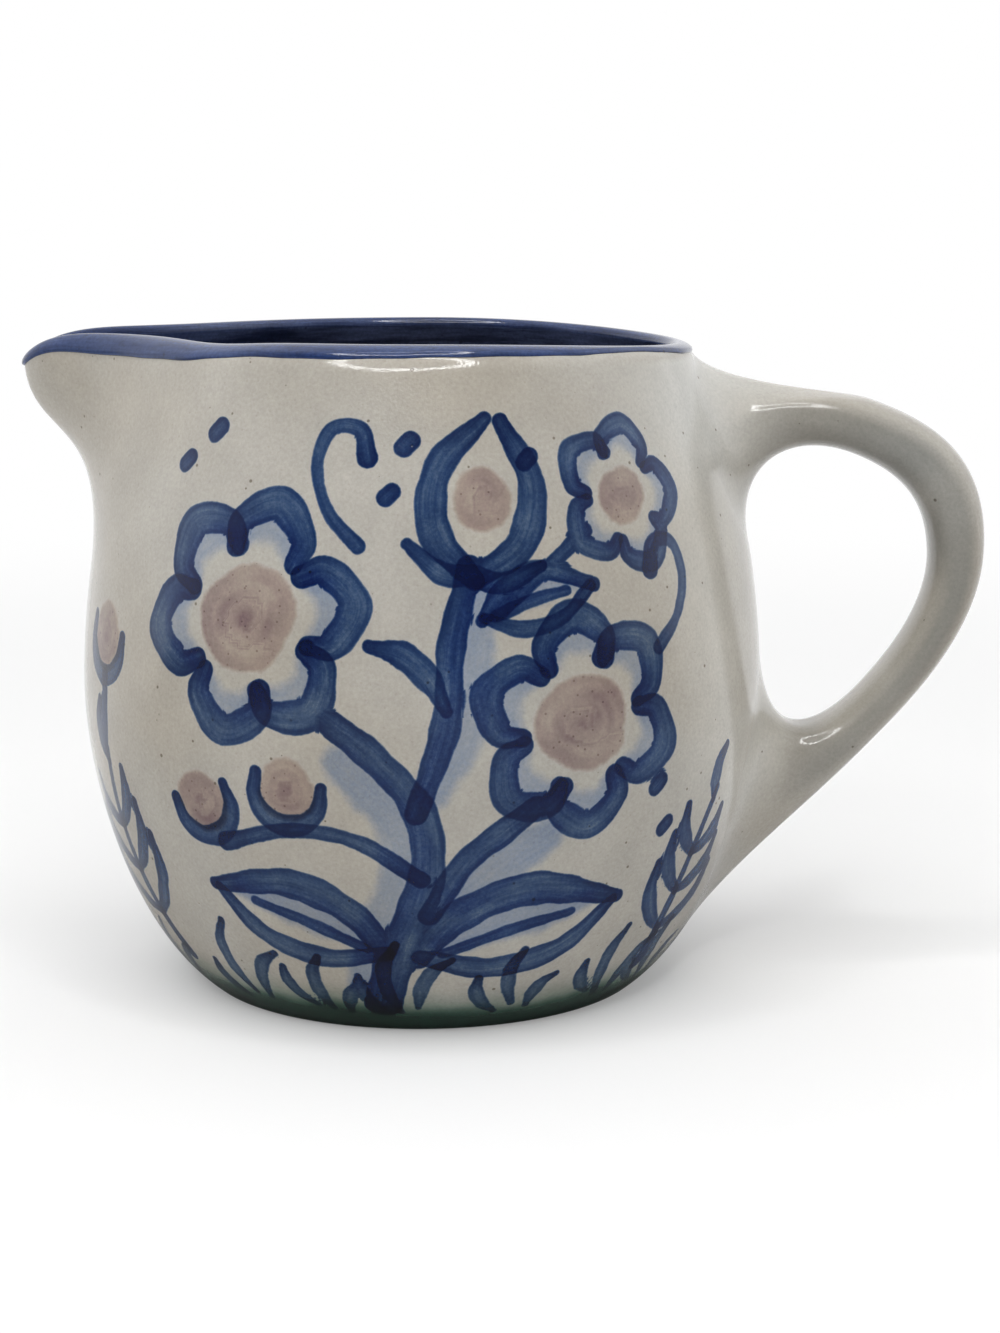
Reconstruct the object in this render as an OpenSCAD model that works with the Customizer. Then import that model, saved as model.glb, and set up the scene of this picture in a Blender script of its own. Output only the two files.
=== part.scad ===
// Small round-bellied stoneware cream jug with a pulled spout, a pulled strap handle
// and a coat of blue glaze over its inside and its lip.
// Millimetres. The origin is the middle of the foot, on the table. +Z is up,
// the handle points along +X and the spout along -X.

/* [Body] */
// Height of the rim above the table, where it stands highest
rim_h = 89.9; // [78:0.1:108]
// How much lower the rim lies at the back than at the front
rim_fall = 0.4; // [0:0.1:2]
// How much lower the rim lies over the handle
rim_dip = 1.2; // [0:0.1:3]
// Radius of the mouth, to the middle of the lip
rim_r = 35.6; // [29:0.1:43]
// Radius of the belly at its widest
belly_r = 46.8; // [39:0.1:56]
// Height at which the belly is widest
belly_h = 42; // [34:0.5:50]
// Radius of the foot, to the outer edge of its flat ring
foot_r = 29.8; // [24:0.1:36]
// Roundness of the foot's outer edge
foot_round = 1.2; // [0.5:0.1:3]
// Width of the flat foot ring
foot_ring_w = 4.2; // [2:0.1:8]
// Depth of the hollow turned under the base
foot_hollow = 1.4; // [0.6:0.1:2.4]
// Thickness of the clay at the belly
wall_t = 3.8; // [3:0.1:6]
// Thickness of the clay at the lip
lip_t = 2.8; // [2:0.1:4]
// Thickness of the clay floor
floor_t = 5; // [4:0.1:9]
// Radius of the flat part of the floor inside
floor_r = 21; // [14:0.5:26]

/* [Spout] */
// How far the lip is pulled out past the mouth at the spout's tip
spout_out = 17.3; // [8:0.1:24]
// How far the lip is pulled down at the spout's tip
spout_drop = 3; // [0:0.1:6]

/* [Handle] */
// How far the handle stands out past the belly
handle_out = 31; // [24:0.1:38]
// Height of the handle's outermost point
handle_bow_h = 60; // [50:0.5:70]
// How far the middle of the handle's top end lies below the rim
top_end_drop = 9.9; // [6:0.1:14]
// Height of the middle of the handle's lower end
low_end_h = 22; // [14:0.5:30]
// Thickness of the handle where it leaves its top root
handle_top_t = 7.4; // [5:0.1:10]
// Thickness of the handle at its outermost point
handle_bow_t = 7.7; // [5:0.1:10]
// Thickness of the handle where it enters its lower root
handle_low_t = 7; // [5:0.1:10]
// Width of the handle at its top root
handle_top_w = 13; // [9:0.5:18]
// Width of the handle at its lower root
handle_low_w = 12; // [9:0.5:18]
// Height of the lowest point of the top root on the wall
top_root_low = 65; // [58:0.5:70]
// How far the highest point of the top root lies below the rim
top_root_drop = 3.6; // [3:0.1:9]
// Width of the top root on the wall
top_root_w = 23; // [16:0.5:30]
// Height of the lowest point of the lower root on the wall
low_root_low = 6.5; // [4:0.5:12]
// Height of the highest point of the lower root on the wall
low_root_high = 44.5; // [38:0.5:52]
// Width of the lower root on the wall
low_root_w = 28; // [18:0.5:34]

/* [Glaze] */
// Thickness of the coat of blue glaze
glaze_t = 0.4; // [0.3:0.05:1]
// How far the blue glaze runs down outside, below the round of the lip
band_d = 1; // [0.5:0.1:4]

/* [Hidden] */

// Slope of the wall above the foot, and lean of the wall below the lip, in degrees
foot_slope = 37.5;
rim_lean = 25;
// The same lean at the spout's tip, and where the round of the lip ends there
tip_lean = -4;
tip_turn = 140;
// Angle either side over which the spout fades out, and the angle that gives its point
spout_fade = 75;
beak_angle = 12;
// How sharply the pulled-down lip rises again beside the tip
tip_curl = 6;
// Lengths of the wall's curves' pulls, as shares of the height that each curve climbs
foot_pull_share = 0.33;
low_belly_share = 0.31;
high_belly_share = 0.18;
neck_pull_share = 0.41;
// Where the spout leaves the round wall, as a share of the curve from belly to lip
spout_root_share = 0.42;
// Pulls of the spout's curve at its root and its tip, as shares of its height
throat_pull_share = 0.7;
tip_pull_share = 0.3;
// Pulls of the inside curve at the floor and under the belly
floor_pull_share = 0.72;
low_inside_share = 0.5;

// Direction of the handle at its two ends, in degrees above level
top_end_rise = -2.5;
low_end_rise = 48;
// Pulls of the handle's curve, as shares of its reach and of its climb
handle_top_share = 0.65;
bow_high_share = 0.67;
bow_low_share = 0.46;
handle_low_share = 0.53;
// Where the handle's two roots begin, as shares of its whole curve
top_neck_share = 0.2;
low_neck_share = 0.7;
// Pulls of the roots' curves at the wall and at the neck, as shares of their span:
// above and below the handle, then at its sides
top_wall_pull_shares = [0.39, 0.35];
top_neck_pull_shares = [0.61, 0.45];
low_wall_pull_shares = [0.8, 0.35];
low_neck_pull_shares = [0.5, 0.4];
// Angle at which a root leaves the wall, and its depth before it is fitted to the wall
root_lift = 26;
root_key = 0.9;
// Squareness of the handle's section: 2 is an ellipse
handle_square = 2.4;

// Steps of each curve
foot_steps = 2;
low_steps = 8;
mid_steps = 3;
top_steps = 7;
lip_steps = 6;
inside_low_steps = 7;
handle_steps = 22;
root_steps = 6;
section_steps = 24;
// Overrun of a cut
over = 1;

// Angles round the jug, closer together at the spout
coarse_step = 7.5;
fine_step = 3;
spout_zone = 30;
angles = concat(
    [for (a = [0 : coarse_step : 180 - spout_zone - coarse_step]) a],
    [for (a = [180 - spout_zone : fine_step : 180 + spout_zone]) a],
    [for (a = [180 + spout_zone + coarse_step : coarse_step : 360 - coarse_step]) a]);

function mix(a, b, k) = a + (b - a) * k;
function heading(a) = [cos(a), sin(a)];
function unit(v) = v / norm(v);
function reversed(list) = [for (i = [len(list) - 1 : -1 : 0]) list[i]];

// A point on a curve with two ends and two pulls, its direction, and its two parts
function curve_at(p, t) =
    pow(1 - t, 3) * p[0] + 3 * pow(1 - t, 2) * t * p[1]
    + 3 * (1 - t) * t * t * p[2] + pow(t, 3) * p[3];
function curve_heading(p, t) = unit(
    pow(1 - t, 2) * (p[1] - p[0]) + 2 * (1 - t) * t * (p[2] - p[1]) + t * t * (p[3] - p[2]));
function curve_points(p, steps) = [for (i = [1 : steps]) curve_at(p, i / steps)];
function curve_start(p, t) =
    let (a = mix(p[0], p[1], t), b = mix(p[1], p[2], t), c = mix(p[2], p[3], t),
         d = mix(a, b, t), e = mix(b, c, t))
    [p[0], a, d, mix(d, e, t)];
function curve_rest(p, t) = reversed(curve_start(reversed(p), 1 - t));

// Round wall, outside: foot to belly, then belly to lip, which parts at the spout's root
lip_r = lip_t / 2;
lip_h = rim_h - glaze_t - lip_r;
foot_edge = [foot_r + foot_round * sin(foot_slope), foot_round * (1 - cos(foot_slope))];
low_climb = belly_h - foot_edge[1];
belly = [belly_r, belly_h];
low_wall = [
    foot_edge,
    foot_edge + low_climb * foot_pull_share * heading(foot_slope),
    belly - [0, low_climb * low_belly_share],
    belly];
function high_wall(start, end, climb) = [
    start,
    start + [0, climb * high_belly_share],
    end - climb * neck_pull_share * heading(rim_lean + 90),
    end];
neck = [rim_r, lip_h] + lip_r * heading(rim_lean);
high_climb = neck[1] - belly_h;
outside_high = high_wall(belly, neck, high_climb);
outside_mid = curve_start(outside_high, spout_root_share);
outside_top = curve_rest(outside_high, spout_root_share);
spout_climb = neck[1] - outside_top[0][1];

// How fully the spout shows at an angle round the jug: 1 at its tip, 0 on the round wall
function beak(a) =
    let (off = abs(a - 180))
    off >= spout_fade ? 0 : pow(cos(90 * off / spout_fade), 2) / (1 + pow(off / beak_angle, 2));
function rim_sag(a) = rim_fall * (1 + sin(a)) / 2 + rim_dip * pow(max(0, cos(a)), 3);
function lip_centre(a) =
    let (k = beak(a))
    [rim_r + spout_out * k, lip_h - rim_sag(a) * (1 - k) - spout_drop * pow(k, tip_curl)];
function lip_start(a) = mix(rim_lean, tip_lean, beak(a));
function lip_end(a) = mix(180 + rim_lean, tip_turn, beak(a));

// The wall's top stretch at an angle: it ends on the lip wherever the spout has pulled it
function pulled(round_curve, end, end_heading, k) =
    let (start_pull = norm(round_curve[1] - round_curve[0]),
         end_pull = norm(round_curve[3] - round_curve[2]))
    [round_curve[0],
     round_curve[0] + mix(start_pull, spout_climb * throat_pull_share, k)
         * unit(round_curve[1] - round_curve[0]),
     end - mix(end_pull, spout_climb * tip_pull_share, k) * end_heading,
     end];
function outside_top_at(a) = pulled(
    outside_top,
    lip_centre(a) + lip_r * heading(lip_start(a)),
    heading(lip_start(a) + 90),
    beak(a));

// The inside wall, with a coat of glaze or none over it
function inside_belly(coat) = [belly_r - wall_t - coat, belly_h];
function inside_high(coat) = high_wall(
    inside_belly(coat),
    [rim_r, lip_h] - (lip_r + coat) * heading(rim_lean),
    high_climb);
function inside_mid(coat) = curve_start(inside_high(coat), spout_root_share);
function inside_low(coat) =
    let (corner = [floor_r, floor_t + coat], top = inside_belly(coat),
         run = top[0] - corner[0], climb = top[1] - corner[1])
    [corner, corner + [run * floor_pull_share, 0], top - [0, climb * low_inside_share], top];
function inside_top_at(a, coat) = pulled(
    curve_rest(inside_high(coat), spout_root_share),
    lip_centre(a) + (lip_r + coat) * heading(lip_end(a)),
    heading(lip_end(a) - 90),
    beak(a));

// The section at an angle, in stretches of [radius, height]
function foot_section() = [
    for (i = [0 : foot_steps])
        let (turn = foot_slope * i / foot_steps)
        [foot_r + foot_round * sin(turn), foot_round * (1 - cos(turn))]];
function outside_section(a) =
    let (top = outside_top_at(a), band = 1 - band_d / spout_climb)
    concat(
        foot_section(),
        curve_points(low_wall, low_steps),
        curve_points(outside_mid, mid_steps),
        [for (i = [1 : top_steps]) curve_at(top, band * i / top_steps)],
        [top[3]]);
function lip_section(a, coat) = [
    for (i = [1 : lip_steps])
        lip_centre(a) + (lip_r + coat) * heading(mix(lip_start(a), lip_end(a), i / lip_steps))];
function inside_section(a, coat) =
    let (top = concat([inside_top_at(a, coat)[0]], curve_points(inside_top_at(a, coat), top_steps)),
         mid = curve_points(inside_mid(coat), mid_steps),
         low = concat([inside_low(coat)[0]], curve_points(inside_low(coat), inside_low_steps)))
    concat(
        [for (i = [top_steps - 1 : -1 : 0]) top[i]],
        [for (i = [mid_steps - 2 : -1 : 0]) mid[i]],
        reversed(low));

// Rings of points round the jug, one for each point of the section
function around(sections) = [
    for (i = [0 : len(sections[0]) - 1])
        [for (j = [0 : len(angles) - 1])
            let (p = sections[j][i])
            [p[0] * cos(angles[j]), p[0] * sin(angles[j]), p[1]]]];

// A closed skin over rings of points, drawn to a point at both ends
module skin(rings, first_point, last_point) {
    n = len(rings[0]);
    last = len(rings) * n;
    points = concat([for (ring = rings) each ring], [first_point, last_point]);
    ends = [for (j = [0 : n - 1])
        let (k = (j + 1) % n)
        each [[last, j, k], [last + 1, last - n + k, last - n + j]]];
    sides = [for (i = [0 : len(rings) - 2]) for (j = [0 : n - 1])
        let (k = (j + 1) % n, a = i * n + j, b = i * n + k, c = a + n, d = b + n)
        each [[a, c, b], [b, c, d]]];
    polyhedron(points = points, faces = concat(ends, sides));
}

// The space inside the outer face of the wall, filled
module wall_outline() {
    sections = [for (a = angles) outside_section(a)];
    skin(around(sections), [0, 0, 0], [0, 0, lip_h]);
}

// Thrown body: foot, belly, lip and pulled spout, with a hollow turned under the base
module jug_body() {
    sections = [for (a = angles)
        concat(outside_section(a), lip_section(a, 0), inside_section(a, 0))];
    color("#c9c6bc")
    difference() {
        skin(around(sections), [0, 0, 0], [0, 0, floor_t]);
        rotate_extrude($fn = 96)
            polygon([
                [0, -over],
                [foot_r - foot_ring_w, -over],
                [foot_r - foot_ring_w, 0],
                [foot_r - foot_ring_w - foot_hollow, foot_hollow],
                [0, foot_hollow]]);
    }
}

// Blue glaze over the floor, the inside wall and the lip, ending in a thin edge outside
module lining_glaze() {
    count = len(outside_section(0));
    clay_side = [for (a = angles)
        let (outside = outside_section(a))
        concat(
            [outside[count - 2], outside[count - 1]],
            lip_section(a, 0), inside_section(a, 0))];
    glaze_side = [for (a = angles)
        concat(
            [lip_centre(a) + (lip_r + glaze_t) * heading(lip_start(a))],
            lip_section(a, glaze_t), inside_section(a, glaze_t))];
    color("#2b3c74")
    skin(
        concat(reversed(around(clay_side)), around(glaze_side)),
        [0, 0, floor_t], [0, 0, floor_t + glaze_t]);
}

// Radius of the outer face of the round wall at a height, and its lean there
wall_table = [for (p = outside_section(0)) [p[1], p[0]]];
function wall_r(h) = lookup(h, wall_table);
function on_wall(y, h, depth) =
    let (r = wall_r(h) - depth)
    [sqrt(r * r - y * y), y, h];

// Middle line of the handle: out from its top end to the bow, then in to its lower end
top_end = [wall_r(rim_h - top_end_drop), rim_h - top_end_drop];
low_end = [wall_r(low_end_h), low_end_h];
bow = [belly_r + handle_out - handle_bow_t / 2, handle_bow_h];
upper_arm = [
    top_end,
    top_end + (bow[0] - top_end[0]) * handle_top_share * heading(top_end_rise),
    bow + [0, (top_end[1] - bow[1]) * bow_high_share],
    bow];
lower_arm = [
    bow,
    bow - [0, (bow[1] - low_end[1]) * bow_low_share],
    low_end + (bow[0] - low_end[0]) * handle_low_share * heading(low_end_rise),
    low_end];
function arm(s) = s <= 0.5 ? upper_arm : lower_arm;
function arm_share(s) = s <= 0.5 ? 2 * s : 2 * s - 1;
function handle_at(s) = curve_at(arm(s), arm_share(s));
function handle_heading(s) = curve_heading(arm(s), arm_share(s));
thickness_table = [
    [top_neck_share, handle_top_t], [0.5, handle_bow_t], [low_neck_share, handle_low_t]];
width_table = [[top_neck_share, handle_top_w], [low_neck_share, handle_low_w]];

// The handle's section is a rounded oblong, and its ends on the wall are ovals
turns = [for (i = [0 : section_steps - 1]) 360 * i / section_steps];
function blunt(v) = sign(v) * pow(abs(v), 2 / handle_square);
function handle_ring(s) =
    let (at = handle_at(s), ahead = handle_heading(s),
         half_t = lookup(s, thickness_table) / 2, half_w = lookup(s, width_table) / 2)
    [for (a = turns)
        let (up = half_t * blunt(cos(a)))
        [at[0] - up * ahead[1], half_w * blunt(sin(a)), at[1] + up * ahead[0]]];

// A root: curves that lift off an oval on the wall and close on the neck of the handle
function root_rings(low, high, width, flip, neck_ring, neck_heading, wall_shares, neck_shares) =
    let (middle = (low + high) / 2, half = (high - low) / 2,
         wall_ring = [for (a = turns)
             on_wall(width / 2 * sin(a), middle + flip * half * cos(a), root_key)],
         inward = [for (a = turns)
             unit(on_wall(width / 2 * sin(a) * 0.98, middle + flip * half * cos(a) * 0.98, root_key)
                 - on_wall(width / 2 * sin(a), middle + flip * half * cos(a), root_key))])
    [for (i = [0 : root_steps - 1])
        [for (j = [0 : section_steps - 1])
            let (span = norm(neck_ring[j] - wall_ring[j]),
                 side = pow(sin(turns[j]), 2),
                 wall_pull = span * mix(wall_shares[0], wall_shares[1], side),
                 neck_pull = span * mix(neck_shares[0], neck_shares[1], side),
                 outward = unit([wall_ring[j][0], wall_ring[j][1], 0]),
                 lift = cos(root_lift) * inward[j] + sin(root_lift) * outward)
            curve_at([
                wall_ring[j],
                wall_ring[j] + wall_pull * lift,
                neck_ring[j] - neck_pull * neck_heading,
                neck_ring[j]], i / root_steps)]];

// Pulled handle with its two spread roots, fitted to the wall that carries it
module handle() {
    top_neck = handle_ring(top_neck_share);
    top_way = handle_heading(top_neck_share);
    low_neck = handle_ring(low_neck_share);
    low_way = handle_heading(low_neck_share);
    top_root_high = rim_h - top_root_drop;
    rings = concat(
        root_rings(top_root_low, top_root_high, top_root_w, 1, top_neck,
            [top_way[0], 0, top_way[1]], top_wall_pull_shares, top_neck_pull_shares),
        [for (i = [0 : handle_steps])
            handle_ring(mix(top_neck_share, low_neck_share, i / handle_steps))],
        reversed(root_rings(low_root_low, low_root_high, low_root_w, -1, low_neck,
            -[low_way[0], 0, low_way[1]], low_wall_pull_shares, low_neck_pull_shares)));
    color("#c4c3b9")
    difference() {
        skin(rings,
            on_wall(0, (top_root_low + top_root_high) / 2, root_key),
            on_wall(0, (low_root_low + low_root_high) / 2, root_key));
        wall_outline();
    }
}

jug_body();
lining_glaze();
handle();
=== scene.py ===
import math

import bmesh
import bpy
import numpy as np
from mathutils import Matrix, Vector


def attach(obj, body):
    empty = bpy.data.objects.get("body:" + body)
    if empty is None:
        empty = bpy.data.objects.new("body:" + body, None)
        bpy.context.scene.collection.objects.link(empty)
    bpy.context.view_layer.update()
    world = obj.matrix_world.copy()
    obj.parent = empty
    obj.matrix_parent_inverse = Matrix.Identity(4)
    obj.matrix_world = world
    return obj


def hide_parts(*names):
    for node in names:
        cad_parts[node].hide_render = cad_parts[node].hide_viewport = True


# Stoneware cream jug: thrown body, pulled handle, blue glazed lining and free brushwork.
# Lengths in this file are millimetres until MM turns them into metres.
# Angles are degrees round the jug: 0 at the handle, 180 at the spout, 270 at the front.

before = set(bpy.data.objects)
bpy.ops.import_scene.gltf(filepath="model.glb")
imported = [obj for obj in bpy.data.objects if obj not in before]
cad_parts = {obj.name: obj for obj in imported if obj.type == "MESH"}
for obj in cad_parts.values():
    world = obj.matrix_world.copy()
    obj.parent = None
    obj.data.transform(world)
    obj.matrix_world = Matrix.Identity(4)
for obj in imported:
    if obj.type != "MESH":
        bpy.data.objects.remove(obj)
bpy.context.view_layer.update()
scene = bpy.context.scene

MM = 0.001
FRONT = 270.0


def add(name, data):
    """A new object in the scene."""
    thing = bpy.data.objects.new(name, data)
    scene.collection.objects.link(thing)
    return thing


# ---- camera

camera = add("camera", bpy.data.cameras.new("camera"))
camera.location = (0.01073, -0.372, 0.1106)
camera.rotation_euler = (math.radians(79.707), 0, 0)
camera.data.lens = 73.12
camera.data.sensor_width = 36
camera.data.clip_start = 0.01
scene.camera = camera

# ---- sizes of the jug

rim_h, rim_fall, rim_dip, rim_r = 89.89, 0.15, 1.5, 35.6
shoulder_dip, shoulder_at, shoulder_w = 0.5, 222.0, 14.0
belly_r, belly_h = 46.8, 42.0
foot_r, foot_round, foot_ring_w, foot_hollow = 29.8, 1.2, 4.2, 1.4
wall_t, lip_t, floor_t, floor_r = 3.8, 2.8, 5.0, 21.0
spout_out, spout_drop, spout_fade, beak_angle = 17.29, 3.0, 75.0, 12.0
glaze_t = 0.4
foot_slope, rim_lean, tip_lean, tip_turn = 37.5, 25.0, -4.0, 140.0

lip_r = lip_t / 2
lip_h = rim_h - glaze_t - lip_r
roll_r, edge_r, roll_shift, roll_lean, throat_pull = 3.3, 0.6, 1.33, 17.0, 8.0
press_share, press_power, tip_curl = 0.6, 6, 6

# Pulls of the wall's curves, as shares of the height that each curve climbs
foot_pull, belly_low_pull, belly_high_pull, neck_pull = 0.33, 0.31, 0.18, 0.41
floor_pull, inside_low_pull, spout_low_pull, spout_lip_pull = 0.72, 0.5, 0.65, 0.33
spout_root_share = 0.42


def mix(a, b, share):
    return a + (b - a) * share


def stack(*parts):
    return np.stack(parts, axis=-1)


def heading(angle):
    turn = np.radians(angle)
    return stack(np.cos(turn), np.sin(turn))


def turned(angle, r, height):
    """The point at an angle round the jug, a radius and a height."""
    turn = np.radians(angle)
    return stack(r * np.cos(turn), r * np.sin(turn), height + 0 * r)


def length(v):
    return np.sqrt((v * v).sum(-1))


def unit(v):
    return v / length(v)[..., None]


def curve_at(p, share):
    t = np.asarray(share, float)[..., None]
    return ((1 - t) ** 3 * p[0] + 3 * (1 - t) ** 2 * t * p[1]
            + 3 * (1 - t) * t * t * p[2] + t ** 3 * p[3])


def curve_start(p, share):
    a, b, c = mix(p[0], p[1], share), mix(p[1], p[2], share), mix(p[2], p[3], share)
    d, e = mix(a, b, share), mix(b, c, share)
    return [p[0], a, d, mix(d, e, share)]


def curve_rest(p, share):
    return curve_start(p[::-1], 1 - share)[::-1]


# ---- the thrown wall

def foot_at(share):
    """The rounded edge of the foot, from its flat ring to the wall."""
    turn = np.radians(foot_slope * share)
    return [foot_r, foot_round] + foot_round * stack(np.sin(turn), -np.cos(turn))


foot_edge = foot_at(1.0)
belly = np.array([belly_r, belly_h])
low_climb = belly_h - foot_edge[1]
neck = np.array([rim_r, lip_h]) + lip_r * heading(rim_lean)
high_climb = neck[1] - belly_h
low_wall = [foot_edge, foot_edge + low_climb * foot_pull * heading(foot_slope),
            belly - [0, low_climb * belly_low_pull], belly]


def high_wall(start, end):
    return [start, start + [0, high_climb * belly_high_pull],
            end - high_climb * neck_pull * heading(rim_lean + 90), end]


outside_high = high_wall(belly, neck)
outside_mid = curve_start(outside_high, spout_root_share)
outside_top = curve_rest(outside_high, spout_root_share)
spout_climb = neck[1] - outside_top[0][1]


def beak(angle):
    """How fully the spout shows at an angle: 1 at its tip, 0 on the round wall."""
    off = np.abs(angle - 180)
    near = np.cos(np.radians(np.minimum(90 * off / spout_fade, 90))) ** 2
    return near / (1 + (off / beak_angle) ** 2)


def lip_centre(angle):
    k = beak(angle)
    turn = np.radians(angle)
    sag = (rim_fall * (1 + np.sin(turn)) / 2 + rim_dip * np.maximum(0, np.cos(turn)) ** 2
           + shoulder_dip * np.exp(-((angle - shoulder_at) / shoulder_w) ** 2))
    return stack(rim_r + spout_out * k, lip_h - sag * (1 - k) - spout_drop * k ** tip_curl)


def lip_narrowing(angle):
    """How much of the roll is pressed away beside the handle."""
    return press_share * np.maximum(0, np.cos(np.radians(angle))) ** press_power


def roll_at(angle):
    """Radius of the lip's outer roll."""
    return mix(mix(roll_r, lip_r, beak(angle)), lip_r, lip_narrowing(angle))


def lip_roll(angle, lean, coat):
    """A point of the lip where its face leans so: its outside is a broad roll, its inner edge
    is tighter, and both come back to a plain half round at the spout."""
    k = beak(angle)
    narrow = lip_narrowing(angle)
    crest = lip_centre(angle) + stack(-roll_shift * (1 - k) * (1 - narrow), lip_r + 0 * k)
    r = np.where(lean < 90, roll_at(angle), mix(edge_r, lip_r, k))
    return crest - stack(0 * k, r) + (r + coat)[..., None] * heading(lean)


def lip_start(angle):
    return mix(roll_lean, tip_lean, beak(angle))


def lip_end(angle):
    return mix(180 + rim_lean, tip_turn, beak(angle))


def pulled(curve, end, end_way, end_pull, k):
    """The wall's top stretch, which ends on the lip wherever the spout has pulled it."""
    start_pull = length(curve[1] - curve[0])
    start_way = (curve[1] - curve[0]) / start_pull
    return [curve[0] + 0 * end,
            curve[0] + mix(start_pull, spout_climb * spout_low_pull, k)[..., None] * start_way,
            end - mix(end_pull, spout_climb * spout_lip_pull, k)[..., None] * end_way,
            end]


def outside_top_at(angle):
    lean = lip_start(angle)
    return pulled(outside_top, lip_roll(angle, lean, 0.0), heading(lean + 90), throat_pull,
                  beak(angle))


def inside_belly(coat):
    return np.array([belly_r - wall_t - coat, belly_h])


def inside_high(coat):
    end = np.array([rim_r, lip_h]) - (lip_r + coat) * heading(rim_lean)
    return high_wall(inside_belly(coat), end)


def inside_low(coat):
    corner, top = np.array([floor_r, floor_t + coat]), inside_belly(coat)
    run, climb = top - corner
    return [corner, corner + [run * floor_pull, 0], top - [0, climb * inside_low_pull], top]


def inside_top_at(angle, coat):
    lean = lip_end(angle)
    curve = curve_rest(inside_high(coat), spout_root_share)
    return pulled(curve, lip_roll(angle, lean, coat), heading(lean - 90),
                  length(curve[3] - curve[2]), beak(angle))


def lip_at(angle, share, coat):
    return lip_roll(angle, mix(lip_start(angle), lip_end(angle), share), coat)


def rim_at(angle, lean, coat):
    """Outer face of the lip by its lean. Below the lip's start the count of degrees runs on
    down the wall at the same pace."""
    start = lip_start(angle)
    down = np.radians(np.maximum(start - lean, 0)) * roll_at(angle)
    below = (curve_at(outside_top_at(angle), 1 - down / spout_climb)
             + np.asarray(coat)[..., None] * heading(start))
    return np.where((lean >= start)[..., None], lip_roll(angle, lean, coat), below)


def stretch_by_stretch(angle, share, stretches, first=0):
    """Points of a section whose stretches, one to each whole step of the share, have a
    function of their own."""
    out = np.zeros(share.shape + (2,))
    kind = np.clip(np.floor(share).astype(int) - first, 0, len(stretches) - 1)
    for i in np.unique(kind):
        here = kind == i
        out[here] = stretches[i](angle[here], share[here] - i - first)
    return out


def inside_at(angle, share, coat):
    """Inside wall and floor: 0 at the lip, 1 at the spout's root, 2 at the belly, 3 at the
    floor's corner and 4 on the axis."""
    return stretch_by_stretch(angle, share, (
        lambda a, t: curve_at(inside_top_at(a, coat), 1 - t),
        lambda a, t: curve_at(curve_start(inside_high(coat), spout_root_share), 1 - t),
        lambda a, t: curve_at(inside_low(coat), 1 - t),
        lambda a, t: stack(floor_r * (1 - t), 0 * t + floor_t + coat)))


# ---- radius of the wall

table_angles = np.arange(0, 361.0)
table_step = 0.25
table_heights = np.arange(0, 89.0, table_step)
crest_lean = 75.0


def wall_rows():
    """For each angle, the outer face's radius at every height of the table."""
    rows = []
    share, lip_share = np.linspace(0, 1, 60), np.linspace(0, 1, 12)
    foot = foot_at(np.linspace(0, 1, 5))
    for angle in table_angles:
        same = np.full(12, angle)
        lip = lip_roll(same, mix(lip_start(same), crest_lean, lip_share), 0.0)
        top = curve_at(outside_top_at(np.array(angle)), share)
        line = np.vstack([foot, curve_at(low_wall, share)[1:],
                          curve_at(outside_mid, share)[1:], top[1:], lip[1:]])
        rows.append(np.interp(table_heights, line[:, 1], line[:, 0]))
    return np.array(rows)


wall_table = wall_rows()


def wall_r(angle, height):
    """Radius of the outer face of the wall at an angle and a height."""
    angle = np.mod(angle, 360.0)
    up = np.clip(height / table_step, 0, len(table_heights) - 1.001)
    i, j = np.minimum(angle.astype(int), 359), up.astype(int)
    u, v = angle - i, up - j
    return ((1 - u) * (1 - v) * wall_table[i, j] + u * (1 - v) * wall_table[i + 1, j]
            + (1 - u) * v * wall_table[i, j + 1] + u * v * wall_table[i + 1, j + 1])


def on_wall(angle, height):
    return turned(angle, wall_r(angle, height), height)


def outward(angle, height, probe=0.4):
    """Direction square to the wall."""
    east = on_wall(angle + probe, height) - on_wall(angle - probe, height)
    up = on_wall(angle, height + probe) - on_wall(angle, height - probe)
    return unit(np.cross(east, up))


# ---- meshes

def turned_tube(stations, around):
    """A closed tube turned round Z, a ring for each station and a point at both ends."""
    bm = bmesh.new()
    last = len(stations) - 1
    chain = [bm.verts.new((0 if i in (0, last) else 1, 0, s))
             for i, s in enumerate(stations)]
    edges = [bm.edges.new(pair) for pair in zip(chain, chain[1:])]
    bmesh.ops.spin(bm, geom=chain + edges, cent=(0, 0, 0), axis=(0, 0, 1),
                   angle=math.pi / 6, steps=around // 12)
    bmesh.ops.spin(bm, geom=bm.verts[:] + bm.edges[:] + bm.faces[:], cent=(0, 0, 0),
                   axis=(0, 0, 1), angle=math.pi * 11 / 6, steps=11, use_duplicate=True)
    bmesh.ops.remove_doubles(bm, verts=bm.verts, dist=1e-4)
    return bm


def tube_places(bm):
    """The angle and the station of each vertex of a turned tube."""
    co = np.array([v.co[:] for v in bm.verts])
    return np.mod(np.degrees(np.arctan2(co[:, 1], co[:, 0])), 360.0), co[:, 2]


def finished(bm, points, name, node, material):
    """Moves the tube's vertices to their points and makes the piece from it."""
    for vert, point in zip(bm.verts, points * MM):
        vert.co = point
    bmesh.ops.recalc_face_normals(bm, faces=bm.faces)
    mesh = bpy.data.meshes.new(name)
    bm.to_mesh(mesh)
    bm.free()
    mesh.shade_smooth()
    mesh.materials.append(material)
    piece = add(name, mesh)
    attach(piece, "root")
    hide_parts(node)
    return piece


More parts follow.
